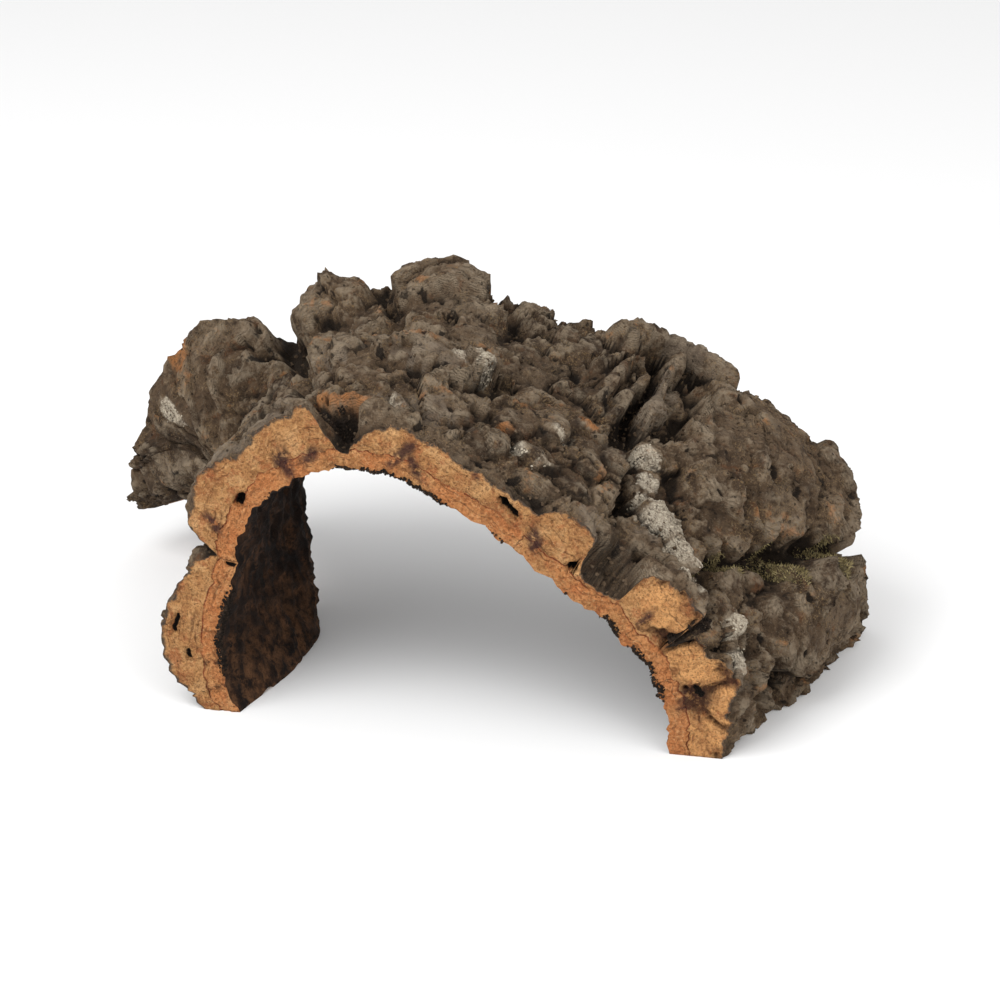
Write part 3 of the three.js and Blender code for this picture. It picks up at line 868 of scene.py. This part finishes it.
def barkMaterial():
    material, w = startMaterial("weathered bark")
    look = barkLooks
    hollow, tip = w.mark("hollow"), w.mark("tip")
    bent = w.bent(7, 7)
    chips = w.cells(6.5, bent, output="Color") * 0.6 + w.cells(2.6, bent, output="Color") * 0.4
    patches = w.noise(17, 4, 0.65)
    broad = w.noise(42, 3) * 0.3 + patches * 0.35 + w.mark("tone") * 0.2 + chips * 0.15
    middle = w.noise(8, 4, 0.65)
    fine = w.noise(2.2, 4, 0.65)
    specks = w.noise(0.8, 3, 0.6)
    level = w.mark("level") * 1.6 + (w.noise(9, 1) - 0.5) * 0.6
    layers = level.fraction()
    lines = layers.between(0.4, 0.85) * layers.between(1.0, 0.93)
    lines = lines * w.mark("layered") * middle.between(0.4, 0.6)
    pores = w.cells(3.6, w.bent(3, 2)).between(0.26, 0.12) * w.noise(9, 2).between(0.5, 0.62)
    torn = 0.15 + middle.between(0.38, 0.6) * 0.45 + fine.between(0.35, 0.6) * 0.35
    frost = w.mark("pale") * (0.2 + fine.between(0.42, 0.58) * 0.4 + specks.between(0.45, 0.58) * 0.35)
    grooves = w.noise(1.6, 3, 0.6, at=w.joined(w.mark("lane") * (markSpan["lane"] * mm), fine * 0.0004))
    bed = w.mark("bed")
    colour = broad.ramp((0.34, look["dark"]), (0.45, look["brown"]),
                        (0.55, look["tan"]), (0.66, look["grey"]))
    colour = colour.coated(look, [
        ("rust", w.noise(11, 4, 0.7).between(0.56, 0.7) * 0.7),
        ("dark", middle.between(0.48, 0.34) * 0.7),
        # painted shade on the patches listed as shade
        ("dark", w.mark("shade") * (0.25 + middle.between(0.6, 0.4) * 0.4)),
        ("smooth", w.mark("grey") * (0.3 + middle.between(0.35, 0.6) * 0.4)),
        ("bleached", tip.between(0.1, 0.7) * middle.between(0.4, 0.6) * 0.7),
        ("fresh", tip.between(0.1, 0.5) * patches.between(0.6, 0.68) * 0.45),
        ("bleached", (fine * 0.6 + specks * 0.4).between(0.52, 0.66) * 0.38),
        ("fresh", w.mark("fresh") * torn),
        ("ochre", specks.between(0.53, 0.62) * patches.between(0.44, 0.6) * 0.65),
        ("moss", w.mark("moss") * middle.between(0.4, 0.55) * 0.8),
        ("pale", frost),
        ("dark", lines * 0.4),
        # painted shade on the recess's floor, darkest in its fine grooves
        ("dark", bed * 0.45),
        ("deep", bed * grooves.between(0.55, 0.42) * 0.65),
        # painted shade in the grooves between plates and the creases between ribs
        ("deep", w.mark("seam").between(0.25, 0.85) * 0.8),
        # painted shade in the hollows
        ("deep", hollow.between(0.1, 0.65) * 0.88),
        # painted shade in the pits, with random dark specks where the fine noise runs high
        ("deep", (w.mark("pit") + (fine - 0.5) * 1.2).between(0.25, 0.6) * 0.9),
        ("deep", pores * 0.7),
        ("deep", w.mark("soil") * 0.9),
        ("dark", (fine * 0.7 + specks * 0.3).between(0.46, 0.36) * 0.6),
    ])
    bumps = [(middle, 1.8), (chips, 1.5), (1 - lines, 0.6), (fine, 1.5), (specks, 0.5), (1 - pores, 0.8),
             (grooves * bed, 1.5)]
    finishMaterial(w, colour, 0.92, bumps)
    return material


sawnLooks = {
    "shade": (0.36, 0.15, 0.055), "ochre": (0.53, 0.265, 0.1), "light": (0.68, 0.38, 0.165),
    "russet": (0.4, 0.12, 0.042), "block": (0.85, 0.42, 0.155), "young": (0.57, 0.2, 0.066),
    "ring": (0.12, 0.045, 0.018), "seam": (0.26, 0.045, 0.018), "split": (0.05, 0.012, 0.007),
    "dot": (0.09, 0.03, 0.012), "fleck": (0.72, 0.43, 0.2), "grain": (0.12, 0.042, 0.016),
    "stain": (0.045, 0.018, 0.018), "crust": (0.085, 0.062, 0.045), "old": (0.08, 0.05, 0.032),
    "hole": barkLooks["deep"],
}


def sawnMaterial():
    material, w = startMaterial("sawn cork")
    look = sawnLooks
    layer, run = w.mark("layer") * markSpan["layer"], w.mark("run") * markSpan["run"]
    share = w.mark("share")
    wander = w.noise(22, 4, at=w.joined(run * mm, 0.0)) - 0.5
    fine = w.noise(1.3, 4, 0.7)
    middle = w.noise(9, 4, 0.6)
    grains = 1 - w.cells(1.7, w.bent(3, 2))
    depth = layer + wander * 6
    band = depth.between(9.4, 8.2)  # the youngest layers, next to the inside
    rings = w.noise(1.7, 3, 0.6, at=w.joined(run * (mm * 0.07), layer * mm))
    offset = depth - 8.8
    seam = offset.absolute().between(0.42, 0.1) * w.noise(9, 3).between(0.36, 0.5)
    split = w.noise(90, 2, 0.5, at=w.joined((run + (fine - 0.5) * 4) * mm, 0.3)) - 0.5
    splits = split.absolute().between(0.004, 0.001) * depth.between(10, 8)
    dots = w.cells(1.7).between(0.28, 0.12) * w.noise(5, 2).between(0.43, 0.55)
    crust = (share + (w.noise(6, 4) - 0.5) * 0.2).between(0.93, 0.99)
    # painted shade: the holes in the sawn face are coloured near black
    holes = (w.mark("hole") + (fine - 0.5) * 0.5).between(0.35, 0.6)
    colour = middle.ramp((0.3, look["shade"]), (0.5, look["ochre"]), (0.68, look["light"]))
    colour = colour.coated(look, [
        ("russet", w.noise(7, 4, 0.7).between(0.5, 0.66) * 0.65),
        ("block", w.mark("block") * middle.between(0.3, 0.6) * 0.7),
        ("young", band * w.noise(20, 3).between(0.3, 0.6) * 0.75),
        ("ring", rings.between(0.45, 0.3) * 0.7),
        ("seam", seam * 0.9),
        ("split", splits * w.noise(4, 2).between(0.4, 0.5) * 0.8),
        ("dot", dots * 0.32),
        ("fleck", fine.between(0.52, 0.68) * 0.5),
        ("grain", (fine * 0.7 + grains * 0.2).between(0.45, 0.35) * 0.42),
        # real stains, and painted shade in the clefts between the blocks
        ("stain", w.mark("stain") * w.noise(3, 4).between(0.3, 0.5) * 0.9),
        ("crust", crust * fine.between(0.3, 0.5)),
        ("old", w.mark("old") * w.noise(16, 4).between(0.35, 0.6) * 0.75),
        ("hole", holes),
    ])
    bumps = [(middle, 1.6), (grains, 1.5), (fine, 2.4), (1 - dots, 0.7), (rings, 1.0), (1 - seam, 0.6)]
    finishMaterial(w, colour, 0.88, bumps)
    return material


insideLooks = {
    "black": (0.005, 0.0025, 0.0015), "dark": (0.014, 0.0065, 0.0035), "brown": (0.05, 0.023, 0.011),
    "rust": (0.1, 0.045, 0.02), "lowBrown": (0.14, 0.066, 0.03), "deep": (0.004, 0.002, 0.0015),
}
lowBrownHeight = 50  # the wall turns a lighter brown so far up from the ground


def insideMaterial():
    material, w = startMaterial("inside face")
    look = insideLooks
    stretch = {"Vector": w.place(), "Scale": (1, 0.8, 0.22)}
    streaks = w.noise(5, 5, 0.65, at=w.node("ShaderNodeMapping", None, stretch))
    fine = w.noise(1.8, 4, 0.7)
    height = w.node("ShaderNodeSeparateXYZ", None, {"Vector": w.place()}, "Z")
    # a lighter brown towards the ground, in patches
    lowBrown = height.between(lowBrownHeight * mm, 0.0) * w.noise(6, 4, 0.7).between(0.4, 0.6)
    colour = streaks.ramp((0.35, look["black"]), (0.5, look["dark"]), (0.68, look["brown"]))
    colour = colour.coated(look, [
        ("rust", w.noise(14, 4).between(0.48, 0.62) * fine.between(0.4, 0.55) * 0.7),
        ("lowBrown", lowBrown * 0.65),
        # painted shade in the furrows
        ("deep", w.mark("hollow").between(0.4, 0.9) * 0.7),
        ("black", fine.between(0.48, 0.3) * 0.6),
    ])
    finishMaterial(w, colour, 0.9, [(streaks, 1.8), (fine, 1.0)])
    return material


litter = [  # small things on the slab: where, how many to a square metre, form, sizes, lean and look
    {"name": "bark_crumbs", "mark": "crumb", "density": 95000.0, "form": "crumb", "seed": 3,
     "least": (0.4, 0.4, 0.3), "greatest": (1.5, 1.2, 0.9), "lean": 3.1, "look": "bark"},
    {"name": "bark_flakes", "mark": "flake", "density": 60000.0, "form": "crumb", "seed": 5,
     "least": (0.5, 0.4, 0.15), "greatest": (1.7, 1.2, 0.4), "lean": 0.5, "look": "flake"},
    {"name": "white_lichen", "mark": "crust", "density": 260000.0, "form": "crumb", "seed": 7,
     "least": (0.25, 0.25, 0.15), "greatest": (0.9, 0.8, 0.4), "lean": 0.4, "look": "lichen"},
    {"name": "moss_tufts", "mark": "tuft", "density": 900000.0, "form": "tuft", "seed": 11,
     "least": (0.5, 0.5, 0.8), "greatest": (1.0, 1.0, 2.6), "lean": 0.7, "look": "moss"},
    {"name": "dark_soil", "mark": "soil", "density": 3600000.0, "form": "crumb", "seed": 13,
     "least": (0.2, 0.2, 0.2), "greatest": (1.4, 1.0, 0.9), "lean": 3.1, "look": "soil"},
]
litterLooks = {  # dark, middle and light colour
    "bark": ((0.022, 0.014, 0.008), (0.06, 0.039, 0.023), (0.12, 0.086, 0.056)),
    "flake": ((0.045, 0.029, 0.017), (0.08, 0.053, 0.032), (0.14, 0.1, 0.066)),
    "lichen": ((0.16, 0.128, 0.09), (0.33, 0.283, 0.215), (0.48, 0.42, 0.33)),
    "moss": ((0.085, 0.064, 0.027), (0.21, 0.165, 0.075), (0.4, 0.33, 0.17)),
    "soil": ((0.006, 0.004, 0.003), (0.014, 0.009, 0.006), (0.045, 0.028, 0.018)),
}


def litterMaterial(name, colours):
    material, w = startMaterial(name)
    colour = w.noise(3.5, 4, 0.7).ramp(*zip((0.32, 0.5, 0.68), colours))
    finishMaterial(w, colour, 0.93, [(w.noise(0.7, 3), 0.4)])
    return material


def litterTree(form, material):
    tree = bpy.data.node_groups.new("litter", "GeometryNodeTree")
    face = tree.interface
    face.new_socket("Geometry", in_out="INPUT", socket_type="NodeSocketGeometry")
    for name, kind in (("Mark", "String"), ("Density", "Float"), ("Seed", "Int"), ("Least", "Vector"),
                       ("Greatest", "Vector"), ("Lean", "Float")):
        face.new_socket(name, in_out="INPUT", socket_type="NodeSocket" + kind)
    face.new_socket("Geometry", in_out="OUTPUT", socket_type="NodeSocketGeometry")
    w = Wire(tree)
    given = tree.nodes.new("NodeGroupInput")

    def got(name):
        return Wire(tree, given.outputs[name])

    where = w.node("GeometryNodeInputNamedAttribute", {"data_type": "FLOAT"}, {"Name": got("Mark")})
    spread = w.node("GeometryNodeDistributePointsOnFaces", {"distribute_method": "RANDOM"},
                    {"Mesh": got("Geometry"), "Density": where * got("Density"), "Seed": got("Seed")}, None)
    shapes = {
        "crumb": ("GeometryNodeMeshIcoSphere", {"Radius": mm, "Subdivisions": 1}),
        "tuft": ("GeometryNodeMeshCone", {"Vertices": 4, "Radius Bottom": 0.35 * mm, "Depth": mm}),
    }
    kind, inputs = shapes[form]
    shape = w.node(kind, None, inputs)
    size = w.node("FunctionNodeRandomValue", {"data_type": "FLOAT_VECTOR"},
                  {0: got("Least"), 1: got("Greatest"), "Seed": got("Seed")}, 0)
    halfTurn = 3.1
    lean = w.joined(got("Lean"), got("Lean"), halfTurn)
    back = w.joined(0 - got("Lean"), 0 - got("Lean"), -halfTurn)
    turn = w.node("FunctionNodeRandomValue", {"data_type": "FLOAT_VECTOR"},
                  {0: back, 1: lean, "Seed": got("Seed")}, 0)
    turn = w.node("FunctionNodeEulerToRotation", None, {"Euler": turn})
    pose = w.node("FunctionNodeRotateRotation", {"rotation_space": "LOCAL"},
                  {"Rotation": spread["Rotation"], "Rotate By": turn})
    made = w.node("GeometryNodeInstanceOnPoints", None,
                  {"Points": spread["Points"], "Instance": shape, "Rotation": pose, "Scale": size})
    made = w.node("GeometryNodeRealizeInstances", None, {"Geometry": made})
    made = w.node("GeometryNodeSetMaterial", None, {"Geometry": made, "Material": material})
    w.node("NodeGroupOutput", None, {"Geometry": made})
    return tree


def placed(name, data):
    made = bpy.data.objects.new(name, data)
    bpy.context.scene.collection.objects.link(made)
    return made


def buildLitter(host):
    for kind in litter:
        material = litterMaterial(kind["name"], litterLooks[kind["look"]])
        tree = litterTree(kind["form"], material)
        holder = placed("holder", host)
        modifier = holder.modifiers.new("litter", "NODES")
        modifier.node_group = tree
        for socket in tree.interface.items_tree:
            if socket.in_out == "INPUT" and socket.name != "Geometry":
                modifier[socket.identifier] = kind[socket.name.lower()]
        graph = bpy.context.evaluated_depsgraph_get()
        mesh = bpy.data.meshes.new_from_object(holder.evaluated_get(graph))
        bpy.data.objects.remove(holder)
        addPiece(kind["name"], mesh)
        print(kind["name"], triangleCount(mesh), "triangles")


studio = {
    "camera": (0.24489, -1.15437, 0.597), "azimuth": 11.3, "elevation": 24.0, "lens": 100.8,
    "sensor": 36.0, "sky": 0.85, "floor": (0.86, 0.86, 0.86), "floorReach": 4, "lampAim": (0, 0, 0.07),
    "lamps": [((-0.7, -0.9, 1.4), 22.0, 1.2), ((1.1, -0.8, 1.0), 9.0, 1.2)],  # place, power, width
}


def buildStudio():
    scene = bpy.context.scene
    scene.view_settings.view_transform = "Standard"
    eye = bpy.data.cameras.new("camera")
    eye.lens = studio["lens"]
    eye.sensor_width = studio["sensor"]
    camera = placed("camera", eye)
    az, el = math.radians(studio["azimuth"]), math.radians(studio["elevation"])
    back = Vector((math.sin(az) * math.cos(el), -math.cos(az) * math.cos(el), math.sin(el)))
    right = Vector((math.cos(az), math.sin(az), 0))
    turn = Matrix((right, back.cross(right), back)).transposed().to_4x4()
    camera.matrix_world = Matrix.Translation(studio["camera"]) @ turn
    scene.camera = camera
    world = bpy.data.worlds.new("studio")
    world.use_nodes = True
    sky = world.node_tree.nodes["Background"].inputs
    sky["Color"].default_value = (1, 1, 1, 1)
    sky["Strength"].default_value = studio["sky"]
    scene.world = world
    for i, (place, power, width) in enumerate(studio["lamps"]):
        lamp = bpy.data.lights.new("softbox%d" % i, "AREA")
        lamp.energy = power
        lamp.size = width
        holder = placed("softbox%d" % i, lamp)
        holder.location = place
        aim = Vector(studio["lampAim"]) - holder.location
        holder.rotation_euler = aim.to_track_quat("-Z", "Y").to_euler()
    reach = studio["floorReach"]
    corners = [(-reach, -reach, 0), (reach, -reach, 0), (reach, reach, 0), (-reach, reach, 0)]
    mesh = bpy.data.meshes.new("floor")
    mesh.from_pydata(corners, [], [(0, 1, 2, 3)])
    paint = bpy.data.materials.new("floor")
    paint.use_nodes = True
    coat = paint.node_tree.nodes["Principled BSDF"].inputs
    coat["Base Color"].default_value = (*studio["floor"], 1)
    coat["Roughness"].default_value = 0.9
    mesh.materials.append(paint)
    floor = placed("floor", mesh)
    print("studio ready")


def addPiece(name, mesh):
    piece = placed(name, mesh)
    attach(piece, "root")
    return piece


def buildSlab():
    mesh = slabMesh(*buildSkin())
    for material in (barkMaterial(), sawnMaterial(), insideMaterial()):
        mesh.materials.append(material)
    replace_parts(addPiece("bark_slab", mesh), "cork_bark_slab")
    buildLitter(mesh)
    print("slab placed")


buildStudio()
buildSlab()
